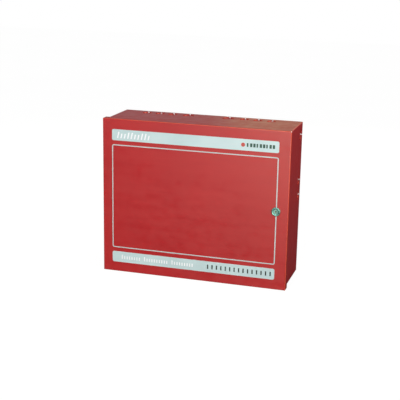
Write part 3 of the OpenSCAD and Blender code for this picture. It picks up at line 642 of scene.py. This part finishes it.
def cam_lock():
    """Lock case: a dished collar and a threaded barrel with two flats; wards and tumblers."""
    lo, hi = box_mm("lock_barrel")
    x, face = (lo.x + hi.x) / 2, box_mm("lock_plug")[0].y
    centre = Vector((x, lo.y, 0))
    head_r, length = (hi.x - lo.x) / 2, hi.y - lo.y
    bore, head_t, thread_r, pitch, flat = 6.08, 2.2, 9.5, 1.0, 8.0
    head = Shape()
    head.lathe(centre, -FORWARD, [
        (0.9, bore), (0.5, bore + 0.7), (0.25, bore + 1.0), (0, bore + 1.5), (0, head_r - 1.3),
        (0.15, head_r - 0.7), (0.6, head_r - 0.2), (1.2, head_r), (head_t, head_r),
        (head_t, thread_r - 0.6), (head_t, bore)], 64, bore=True)
    head.make("lock_collar", "lock", "lock_chrome", "door", replaces=("lock_barrel",))
    profile = [(head_t, bore)]
    along = head_t
    while along < length - pitch:
        profile += [(along, thread_r - 0.55), (along + 0.25 * pitch, thread_r),
                    (along + 0.5 * pitch, thread_r)]
        along += pitch
    profile += [(length - 0.6, thread_r - 0.5), (length, thread_r - 1.0), (length, bore)]
    barrel = Shape()
    barrel.lathe(centre, -FORWARD, profile, 96, bore=True,
                 limit=lambda t: flat / max(abs(math.sin(t)), 1e-6))
    barrel.make("lock_thread", "lock", "lock_chrome", "door", replaces=("lock_barrel",), sharp=25)
    wards, tumblers = Shape(), Shape()
    for side, z in ((-1, 1.3), (1, -1.1)):
        near, far = sorted((x + side * KEYWAY, x + side * (KEYWAY - 0.8)))
        wards.block((near, face + 0.3, z - 0.5), (far, face + 7, z + 0.5))
    wards.make("keyway_wards", "brass", "brass", "lock_core", bevel=0.06)
    half = KEYWAY - 0.08
    for k in range(4):
        tumblers.block((x - half, face + 1.6 + 1.4 * k, -3.2),
                       (x + half, face + 2.5 + 1.4 * k, -2.2 + 0.3 * (k % 2)))
    tumblers.make("wafer_tumblers", "brass", "brass", "lock_core", bevel=0.08)


cam_lock()

# ---------------------------------------------------------------- leads
LUG_Y, LID_TOP = -77.25, -22.9  # the battery lugs' y, and z of the batteries' lids
ROUTES = {
    "positive_lead": [(-168, LUG_Y, LID_TOP + 17), (-166, LUG_Y - 4, LID_TOP + 30),
                      (-140, -78, 22), (-90, -74, 12), (-30, -66, 4), (8, -52, -5),
                      (20.5, -42, -2), (22.75, -37, 6), (22.75, -36, 15.8)],
    "negative_lead": [(168, LUG_Y, LID_TOP + 17), (166, LUG_Y - 4, LID_TOP + 30), (150, -78, 16),
                      (120, -70, 6), (90, -58, -6), (50, -44, -8), (33, -39, -2),
                      (30.25, -36.5, 7), (30.25, -36, 15.8)],
    "link_lead": [(-19, LUG_Y, LID_TOP + 17), (-18, LUG_Y - 2, LID_TOP + 26),
                  (-10, LUG_Y - 5, LID_TOP + 33), (0, LUG_Y - 6, LID_TOP + 35),
                  (10, LUG_Y - 5, LID_TOP + 33), (18, LUG_Y - 2, LID_TOP + 26),
                  (19, LUG_Y, LID_TOP + 17)],
    "earth_lead": [(-216.5, -112, 44.9), (-216, -112, 34), (-213, -114, 16), (-206, -119, 2),
                   (-197, -126, -3), (-190, -134, 2), (-187, -140, 16), (-189.5, -142.7, 34),
                   (-190, -143, 44.9)],
}
COIL_ROUTES = [
    [(-112, -61.05, 74), (-112, -65, 70), (-110, -66, 58), (-104, -58, 40), (-92, -44, 20),
     (-70, -35, 6), (-30, -33, 2), (-4, -34, 0), (6, -35.5, 3), (7.75, -36, 9), (7.75, -36, 15.8)],
    [(-124, -61.05, 74), (-124, -65, 70), (-121, -68, 56), (-113, -62, 36), (-98, -48, 14),
     (-72, -38, 0), (-30, -36, -4), (2, -37, -6), (13.5, -37, -1), (15.25, -36, 7),
     (15.25, -36, 15.8)],
]


def sheath(node, radius, material, slot, body="root"):
    shape = Shape()
    shape.tube(smooth_path(ROUTES[node], 8), radius, 14)
    return shape.make(node + "_sheath", material, slot, body, replaces=(node,), sharp=60)


def shrink_sleeve(name, path):
    """Tight rubber sleeve over the crimp at a lead's end, waisted where it leaves the crimp."""
    shape = Shape()
    shape.tube(path, lambda t: 2.75 * (1.0 - 0.16 * t + 0.03 * math.sin(9 * t)), 16)
    shape.make(name, "rubber", "black_rubber", "root", sharp=60)


def battery_leads():
    """Leads with a sleeve on each battery lug, and a collar where they enter the board's clamps."""
    for node, material in (("positive_lead", "wire_red"), ("negative_lead", "wire_black"),
                           ("link_lead", "wire_red")):
        sheath(node, 2.0, material, material)
        path = smooth_path(ROUTES[node], 8)
        shrink_sleeve(node + "_sleeve_a", path[:7])
        if node == "link_lead":
            shrink_sleeve(node + "_sleeve_b", path[::-1][:7])
            continue
        collar = Shape()
        collar.tube([path[-1] - UP * rise for rise in (5, 2, 0)], lambda t: 2.35 - 0.25 * t, 16)
        collar.make(node + "_collar", material, material, "root", sharp=60)


def earth_lead():
    """Green and yellow lead that crosses the hinge."""
    obj = sheath("earth_lead", 1.6, "earth", "wire_earth", None)
    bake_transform(obj)


def coil_leads():
    """The transformer's two leads to the board."""
    shape = Shape()
    for route in COIL_ROUTES:
        shape.tube(smooth_path(route, 6), 1.1, 12)
    shape.make("transformer_wires", "wire_yellow", "wire_yellow", "root",
               replaces=("transformer_leads",), sharp=60)


battery_leads()
earth_lead()
coil_leads()


# ---------------------------------------------------------------- transformer
def transformer_winding():
    """Taped winding that bulges around the middle leg, two nylon flanges, solder tags."""
    lo, hi = box_mm("transformer_coil")
    x, y = middle((lo, hi)).x, middle((lo, hi)).y
    half_x, half_y = (hi.x - lo.x) / 2, (hi.y - lo.y) / 2
    flange, layers = 2.2, 14
    top, low = hi.z - flange, lo.z + flange

    def leg_hole(z):
        return oval(x, y, z, 12.7, 16.1, 1)

    loops = []
    for i in range(layers + 1):
        t = i / layers
        swell = 0.4 * math.sin(math.pi * t) - 0.15 * (i % 2) - 0.55
        loops.append(oval(x, y, low + (top - low) * t, half_x + swell, half_y + swell, 7))
    coil, flanges, tags = Shape(), Shape(), Shape()
    coil.rings(loops + [leg_hole(top), leg_hole(low)], joined=True)
    coil.make("winding", "tape", "coil_tape", replaces=("transformer_coil",), sharp=50)
    for z0, z1 in ((top, hi.z), (lo.z, low)):
        outer = [oval(x, y, z, half_x - 0.1, half_y - 0.1, 2) for z in (z0, z1)]
        flanges.rings(outer + [leg_hole(z1), leg_hole(z0)], joined=True)
    flanges.make("bobbin_flanges", "white_cap", "cap_white", replaces=("transformer_coil",),
                 bevel=0.3)
    for k in range(4):
        cx = x - 18 + 12 * k
        tags.block((cx - 1.2, lo.y + 0.2, lo.z + 3), (cx + 1.2, lo.y + 0.9, lo.z + 9))
    tags.make("solder_tags", "bright", "tinned", bevel=0.2)


transformer_winding()

# ---------------------------------------------------------------- charger board
BOARD_FRONT = box_mm("charger_board")[0].y
CLAMP_PITCH = 7.5


def on_board(shape, x0, x1, z0, z1, height):
    """Block that stands on the board."""
    shape.block((x0, BOARD_FRONT - height, z0), (x1, BOARD_FRONT, z1))


def foot(box):
    """Point on the board behind the middle of a part."""
    return Vector((middle(box).x, BOARD_FRONT, middle(box).z))


def capacitors():
    """Sleeved cans with a rolled groove, a bare scored top and a stripe down one side."""
    sleeves, tops, stripes = Shape(), Shape(), Shape()
    for lo, hi in solids("capacitors"):
        centre, r, h = foot((lo, hi)), (hi.x - lo.x) / 2, hi.y - lo.y
        sleeves.lathe(centre, FORWARD, [
            (0, r - 0.8), (0.5, r - 0.2), (1.2, r), (2.6, r), (3.2, r - 0.7), (3.8, r),
            (h - 1.6, r), (h - 0.7, r - 0.25), (h - 0.25, r - 0.8), (h - 0.2, r - 1.3),
            (h - 0.35, r - 1.35)], 40)
        tops.lathe(centre, FORWARD, [(h - 0.7, r - 1.0), (h - 0.3, r - 1.4), (h - 0.3, r - 1.7),
                                     (h - 0.45, r - 2.2), (h - 0.3, 0.5)], 40)
        face = centre.y - h
        for half_x, half_z in ((0.22, r - 2.4), (r - 2.4, 0.22)):
            tops.block((centre.x - half_x, face + 0.16, centre.z - half_z),
                       (centre.x + half_x, face + 0.5, centre.z + half_z))
        arc = [math.radians(-24 + 8 * k) for k in range(7)]
        stripes.prism([Vector((centre.x + reach * math.sin(t), BOARD_FRONT - 4.2,
                               centre.z - reach * math.cos(t)))
                       for reach, angles in ((r + 0.03, arc), (r - 0.3, arc[::-1]))
                       for t in angles], FORWARD * (h - 6))
    sleeves.make("capacitor_sleeves", "sleeve", "sleeve_blue", replaces=("capacitors",))
    tops.make("capacitor_tops", "bright", "tinned", replaces=("capacitors",))
    stripes.make("capacitor_stripes", "ink_white", "label_film")


def status_lamps():
    """Domed lenses with a flange, each around its lead frame."""
    lenses, frames = Shape(), Shape()
    for lo, hi in solids("status_leds"):
        centre, r, h = foot((lo, hi)), 1.6, hi.y - lo.y
        dome = [(h - r + r * math.sin(math.radians(a)), r * math.cos(math.radians(a)))
                for a in (15, 35, 55, 75, 86)]
        lenses.lathe(centre, FORWARD, [(0.3, 2.0), (1.0, 2.0), (1.1, r), (h - r, r)] + dome, 24)
        frames.lathe(centre, FORWARD,
                     [(0.0, 1.2), (0.4, 1.2), (0.4, 0.5), (2.4, 0.5), (2.6, 0.2)], 12)
    lenses.make("lamp_lenses", "lens", "led_lens", replaces=("status_leds",))
    frames.make("lamp_frames", "bright", "tinned")


def fuses():
    """Glass fuses: a clear tube between two rolled caps, with the thin wire through it."""
    tubes, caps, wires = Shape(), Shape(), Shape()
    for lo, hi in solids("fuse_tubes"):
        start = Vector((lo.x, (lo.y + hi.y) / 2, (lo.z + hi.z) / 2))
        r, length, cap = (hi.y - lo.y) / 2, hi.x - lo.x, 5.0
        near, far = cap - 1, length - cap + 1
        tubes.lathe(start, RIGHT, [(near, r - 0.9), (near, r - 0.4), (far, r - 0.4),
                                   (far, r - 0.9)], 24, bore=True)
        profile = [(0, 0.4), (0, r - 0.5), (0.25, r - 0.1), (0.6, r), (cap - 0.4, r),
                   (cap, r - 0.15), (cap, 0.4)]
        caps.lathe(start, RIGHT, profile, 28)
        caps.lathe(start + RIGHT * length, -RIGHT, profile, 28)
        wires.tube([start + RIGHT * (length * k / 6) + UP * (0.25 * (k % 2))
                    for k in range(1, 6)], 0.14, 6)
    tubes.make("fuse_glass_tubes", "glass", "fuse_glass", replaces=("fuse_tubes",))
    caps.make("fuse_caps", "bright", "tinned", replaces=("fuse_tubes",))
    wires.make("fuse_wires", "bright", "tinned")


def sounder():
    """Round piezo sounder with a stepped rim, a ring of grooves and a sound hole."""
    lo, hi = box_mm("sounder")
    r, h = (hi.x - lo.x) / 2, hi.y - lo.y
    shape = Shape()
    shape.lathe(foot((lo, hi)), FORWARD, [
        (0, r - 0.8), (0.8, r - 0.8), (1.0, r), (h - 1.4, r), (h - 0.5, r - 0.4), (h, r - 1.2),
        (h, r - 2.4), (h - 0.5, r - 2.8), (h - 0.5, 4.4), (h, 4.0), (h, 1.9), (h - 0.2, 1.6),
        (h - 3.0, 1.5), (h - 3.0, 0.1)], 48)
    shape.make("sounder_case", "black", "black_plastic", replaces=("sounder",))


def transistor_parts():
    """Bare tabs with their screws on the heat sink, and three legs each, down to the board."""
    tabs, legs = Shape(), Shape()
    for lo, hi in solids("power_transistors"):
        x = (lo.x + hi.x) / 2
        tabs.prism([Vector((u, v, hi.z - 3.9)) for u, v in
                    ((lo.x + 0.1, lo.y + 0.1), (hi.x - 0.1, lo.y + 0.1), (hi.x - 0.1, lo.y + 4.2),
                     (lo.x + 0.1, lo.y + 4.2))], UP * 0.35)
        tabs.lathe((x, lo.y + 2.1, hi.z - 3.6), UP, [(0, 1.9), (0.9, 1.9), (1.4, 1.3), (1.5, 0.3)],
                   20)
        for k in (-1, 0, 1):
            cx, z = x + 2.54 * k, hi.z - 2.2
            legs.tube([Vector((cx, y, z)) for y in (hi.y - 1, BOARD_FRONT - 3, BOARD_FRONT)],
                      0.42, 6)
            legs.lathe((cx, BOARD_FRONT, z), FORWARD, [(0, 1.0), (0.4, 0.7), (0.9, 0.45)], 12)
    tabs.make("transistor_tabs", "bright", "tinned", bevel=0.1)
    legs.make("transistor_legs", "bright", "tinned")


def chip_legs():
    """Gull-wing legs along each chip, on all four sides of a square one, and an index dimple."""
    legs, dots = Shape(), Shape()
    for lo, hi in solids("ic_chips"):
        size = hi - lo
        square = abs(size.x - size.z) < 1
        pitch = 1.0 if square else 2.54
        half, rise = 0.13 * pitch + 0.08, size.y * 0.5
        steps = ((-0.2, 1.3, 0.0, 0.25), (0.45, 0.7, 0.0, rise), (-0.2, 0.7, rise - 0.2, rise))
        for row in ((0, 2) if square else ((0,) if size.x > size.z else (2,))):
            out = 2 - row           # the legs stand in a row along one axis and point along out
            count = int(size[row] / pitch - 0.4)
            start = (lo[row] + hi[row]) / 2 - (count - 1) / 2 * pitch
            for i in range(count):
                at = start + i * pitch
                for side in (-1, 1):
                    edge = (hi if side > 0 else lo)[out]
                    for a, b, y0, y1 in steps:
                        near, far = sorted((edge + side * a, edge + side * b))
                        low, high = [0, BOARD_FRONT - y1, 0], [0, BOARD_FRONT - y0, 0]
                        low[row], low[out] = at - half, near
                        high[row], high[out] = at + half, far
                        legs.block(low, high)
        dots.lathe((lo.x + 1.6, lo.y + 0.02, hi.z - 1.6), FORWARD, [(0, 0.55), (0.05, 0.5)], 16)
    legs.make("chip_legs", "bright", "tinned")
    dots.make("chip_dots", "line", "line_ink")


def small_parts():
    """Chip resistors and ceramic capacitors in rows on the free parts of the board."""
    rng = random.Random(7)
    bodies, pale, ends = Shape(), Shape(), Shape()
    fields = [(70, 92, 96, 104, 1), (96, 120, 98, 106, 1), (50, 62, 60, 92, 0),
              (66, 118, 50, 54, 1), (4, 52, 100, 112, 1), (92, 128, 28, 40, 1),
              (-12, 0, 98, 124, 0), (126, 150, 108, 128, 1)]
    sizes = ((2.0, 1.25, 0.55), (3.2, 1.6, 0.65), (1.6, 0.8, 0.5))
    for x0, x1, z0, z1, flat in fields:
        x = x0
        while x < x1 - 1:
            z = z0
            while z < z1 - 1:
                if rng.random() < 0.78:
                    long, short, tall = rng.choice(sizes)
                    w, h = (long, short) if flat else (short, long)
                    on_board(rng.choice((bodies, bodies, pale)), x + 0.12 * w, x + 0.88 * w,
                             z + 0.12 * h, z + 0.88 * h, tall)
                    for a, b in ((0, 0.2), (0.8, 1)):
                        spans = (x + a * w, x + b * w, z, z + h) if flat else (
                            x, x + w, z + a * h, z + b * h)
                        on_board(ends, *spans, tall + 0.03)
                z += 3.4 if flat else 4.6
            x += 4.8 if flat else 3.2
    bodies.make("chip_resistors", "black", "black_plastic", bevel=0.06)
    pale.make("ceramic_capacitors", "ceramic", "cap_white", bevel=0.06)
    ends.make("chip_ends", "bright", "tinned", bevel=0.06)


def silkscreen():
    """White printed outlines around the parts, and solder joints along the clamp strips."""
    lines, pads = Shape(), Shape()
    width, ink = 0.3, 0.03
    for node in ("relays", "ic_chips", "fuse_tubes", "terminal_blocks", "power_transistors"):
        margin = 1.9 if node == "ic_chips" else 0.9
        for lo, hi in solids(node):
            x0, x1, z0, z1 = lo.x - margin, hi.x + margin, lo.z - margin, hi.z + margin
            for spans in ((x0, x1, z0, z0 + width), (x0, x1, z1 - width, z1),
                          (x0, x0 + width, z0, z1), (x1 - width, x1, z0, z1)):
                on_board(lines, *spans, ink)
    for lo, hi in solids("capacitors") + solids("status_leds") + solids("sounder"):
        r = (hi.x - lo.x) / 2 + 0.8
        lines.lathe(foot((lo, hi)), FORWARD, [(0, r), (ink, r), (ink, r - width), (0, r - width)],
                    40, bore=True)
    board = box_mm("charger_board")
    for lo, hi in solids("terminal_blocks"):
        z = lo.z - 2.6 if middle((lo, hi)).z > middle(board).z else hi.z + 2.6
        x = lo.x + CLAMP_PITCH / 2
        while x < hi.x:
            pads.lathe((x, BOARD_FRONT, z), FORWARD,
                       [(0, 1.1), (0.05, 1.1), (0.5, 0.5), (0.7, 0.25)], 16)
            x += CLAMP_PITCH
    lines.make("board_print", "ink_white", "label_film")
    pads.make("solder_joints", "bright", "tinned")


capacitors()
status_lamps()
fuses()
sounder()
transistor_parts()
chip_legs()
small_parts()
silkscreen()


# ---------------------------------------------------------------- batteries
def battery_details(side):
    """Seam bead, ribs, blank band with two stripes and vent plugs of one battery."""
    name = f"battery_{side}_"
    lo, hi = box_mm(name + "case")
    cx, cy = (lo.x + hi.x) / 2, (lo.y + hi.y) / 2
    bead, ribs, band, stripes, vents = (Shape() for _ in range(5))
    bead.rings([oval(cx, cy, hi.z + z, (hi.x - lo.x) / 2 + out, (hi.y - lo.y) / 2 + out, 3.2, 5)
                for z, out in ((-0.9, -0.2), (-0.9, 0.0), (-0.5, 0.28), (0.3, 0.28), (0.7, 0.0),
                               (0.7, -0.6))])
    bead.make(name + "seam", "lid", "battery_lid", sharp=50)
    for i in range(9):
        x = cx - 72 + 18 * i
        ribs.block((x - 0.8, lo.y - 0.35, hi.z - 16), (x + 0.8, lo.y + 0.4, hi.z - 4))
    for z in (12, 15, 18):
        ribs.block((lo.x + 8, lo.y - 0.3, lo.z + z), (hi.x - 8, lo.y + 0.4, lo.z + z + 1.2))
    ribs.make(name + "ribs", "case", "battery_case", bevel=0.3)
    face = lo.y - 0.06
    band.prism([Vector((cx + u, face, lo.z + v))
                for u, v in round_corners(-70, 70, 38, 112, 3, 4)], FORWARD * -0.1)
    band.make(name + "band", "band", "label_film")
    for z0, z1 in ((92, 104), (46, 49)):
        stripes.block((cx - 62, face - 0.04, lo.z + z0), (cx + 62, face + 0.02, lo.z + z1))
    stripes.make(name + "band_print", "band_ink", "label_film")
    lid_top = box_mm(name + "lid")[1].z
    for i in range(6):
        vents.lathe((cx - 42 + 16.8 * i, cy, lid_top - 1.05), UP, [
            (0, 5.2), (0.5, 5.2), (0.9, 4.6), (0.95, 3.0), (0.6, 2.7), (0.6, 0.3)], 28)
    vents.make(name + "vents", "case", "battery_case")


def polarity_marks():
    """Raised plus and minus beside each terminal."""
    plus, minus = Shape(), Shape()
    lid_top = box_mm("battery_left_lid")[1].z
    low, high = lid_top - 0.4, lid_top + 0.35
    for i, (lo, hi) in enumerate(sorted(solids("battery_terminals"), key=lambda b: b[0].x)):
        x, y = (lo.x + hi.x) / 2, hi.y + 15
        shape = minus if i % 2 else plus
        shape.block((x - 4, y - 0.8, low), (x + 4, y + 0.8, high))
        if shape is plus:
            shape.block((x - 0.8, y - 4, low), (x + 0.8, y + 4, high))
    plus.make("plus_marks", "wire_red", "wire_red", bevel=0.2)
    minus.make("minus_marks", "ink_white", "label_film", bevel=0.2)


battery_details("left")
battery_details("right")
polarity_marks()

# ---------------------------------------------------------------- stage and light, in metres
FLOOR_SIZE, FLOOR_GAP, FLOOR_WHITE, AMBIENT = 6.0, 0.0004, 0.95, 0.39
WHITE = (1, 1, 1, 1)
# Area lights: place, target, size, power, spread in degrees, colour
LIGHTS = {
    "key": ((0.3, -2.6, -0.01), (0, -0.07, 0), 0.34, 25.8, 180, (0.97, 1.02, 0.82)),
    "fill_left": ((-0.5, -2.6, -0.01), (0, -0.07, 0), 0.34, 3.0, 180, (1.0, 0.94, 1.0)),
    "key_high": ((0.0, -2.1, 1.3), (0, -0.07, 0), 1.0, 15.8, 180, (1, 1, 1)),
    "side": ((2.0, -0.7, 0.8), (0.2, -0.07, 0.5), 0.6, 2.6, 60, (1, 1, 1)),
    "rear": ((-0.1, 2.0, 0.6), (0, -0.07, 0.1), 0.8, 0.95, 180, (1.0, 0.9, 0.25)),
    "rear_low": ((-0.5, 1.9, 0.0), (0, 0, 0), 0.36, 9.0, 180, (1, 1, 1)),
}


def seen_or_lit(tree, lit, seen, output):
    """Shows one shader to the camera, and lights the scene with the other."""
    path = tree.nodes.new("ShaderNodeLightPath")
    mix = tree.nodes.new("ShaderNodeMixShader")
    tree.links.new(path.outputs["Is Camera Ray"], mix.inputs[0])
    tree.links.new(lit.outputs[0], mix.inputs[1])
    tree.links.new(seen.outputs[0], mix.inputs[2])
    tree.links.new(mix.outputs[0], tree.nodes[output].inputs["Surface"])


def floor_material():
    """Pale floor that the camera sees as white; it sends only little light back at the object."""
    p = Paint("pale_floor")
    p.set(Base_Color=p.ramp(p.noise(3.0), (0.3, (0.10, 0.10, 0.10)), (0.7, (0.11, 0.11, 0.11))),
          Roughness=0.9, Specular_IOR_Level=0.0)
    white = p.node("ShaderNodeEmission", Color=WHITE, Strength=FLOOR_WHITE)
    both = p.tree.nodes.new("ShaderNodeAddShader")
    p.feed(both.inputs[0], p.shader.outputs[0])
    p.feed(both.inputs[1], white.outputs[0])
    seen_or_lit(p.tree, p.shader, both, "Material Output")
    return p.mat


floor_mesh = bpy.data.meshes.new("floor")
bm = bmesh.new()
bmesh.ops.create_grid(bm, x_segments=8, y_segments=8, size=FLOOR_SIZE)
bm.to_mesh(floor_mesh)
bm.free()
floor = bpy.data.objects.new("floor", floor_mesh)
floor.location = (0, 0, cad_box[0].z - FLOOR_GAP)
bpy.context.scene.collection.objects.link(floor)
floor.data.materials.append(floor_material())

for name, (place, target, size, power, spread, color) in LIGHTS.items():
    light = bpy.data.lights.new(name, "AREA")
    light.energy = power
    light.color = color
    light.size = size
    light.spread = math.radians(spread)
    lamp = bpy.data.objects.new(name, light)
    lamp.location = place
    lamp.rotation_euler = (Vector(target) - Vector(place)).to_track_quat("-Z", "Y").to_euler()
    bpy.context.scene.collection.objects.link(lamp)

world = bpy.data.worlds.new("studio")
bpy.context.scene.world = world
world.use_nodes = True
ambient = world.node_tree.nodes["Background"]
beyond = world.node_tree.nodes.new("ShaderNodeBackground")
for background, strength in ((ambient, AMBIENT), (beyond, 1.0)):
    background.inputs["Color"].default_value = WHITE
    background.inputs["Strength"].default_value = strength
seen_or_lit(world.node_tree, ambient, beyond, "World Output")

# ---------------------------------------------------------------- camera, to the right and above
CAM_PLACE = Vector((0.64519, -2.25246, 0.59565))
CAM_YAW, CAM_PITCH, CAM_ROLL = math.radians(-16.647), math.radians(14.922), math.radians(1.062)
IMAGE_PX, FOCAL_PX, SENSOR = 400.0, 960.0, 36.0


def aim(yaw, pitch, roll):
    """Turns a camera that looks along +Y: yaw is negative to the left, pitch is down."""
    ahead = Vector((math.sin(yaw) * math.cos(pitch), math.cos(yaw) * math.cos(pitch),
                    -math.sin(pitch)))
    right = ahead.cross(UP).normalized()
    up = right.cross(ahead)
    right, up = (right * math.cos(roll) + up * math.sin(roll),
                 up * math.cos(roll) - right * math.sin(roll))
    return Matrix((right, up, -ahead)).transposed().to_4x4()


camera_data = bpy.data.cameras.new("camera")
camera_data.lens = FOCAL_PX / IMAGE_PX * SENSOR
camera_data.sensor_width = SENSOR
camera = bpy.data.objects.new("camera", camera_data)
camera.matrix_world = Matrix.Translation(CAM_PLACE) @ aim(CAM_YAW, CAM_PITCH, CAM_ROLL)
bpy.context.scene.collection.objects.link(camera)
bpy.context.scene.camera = camera
bpy.context.scene.view_settings.view_transform = "Standard"
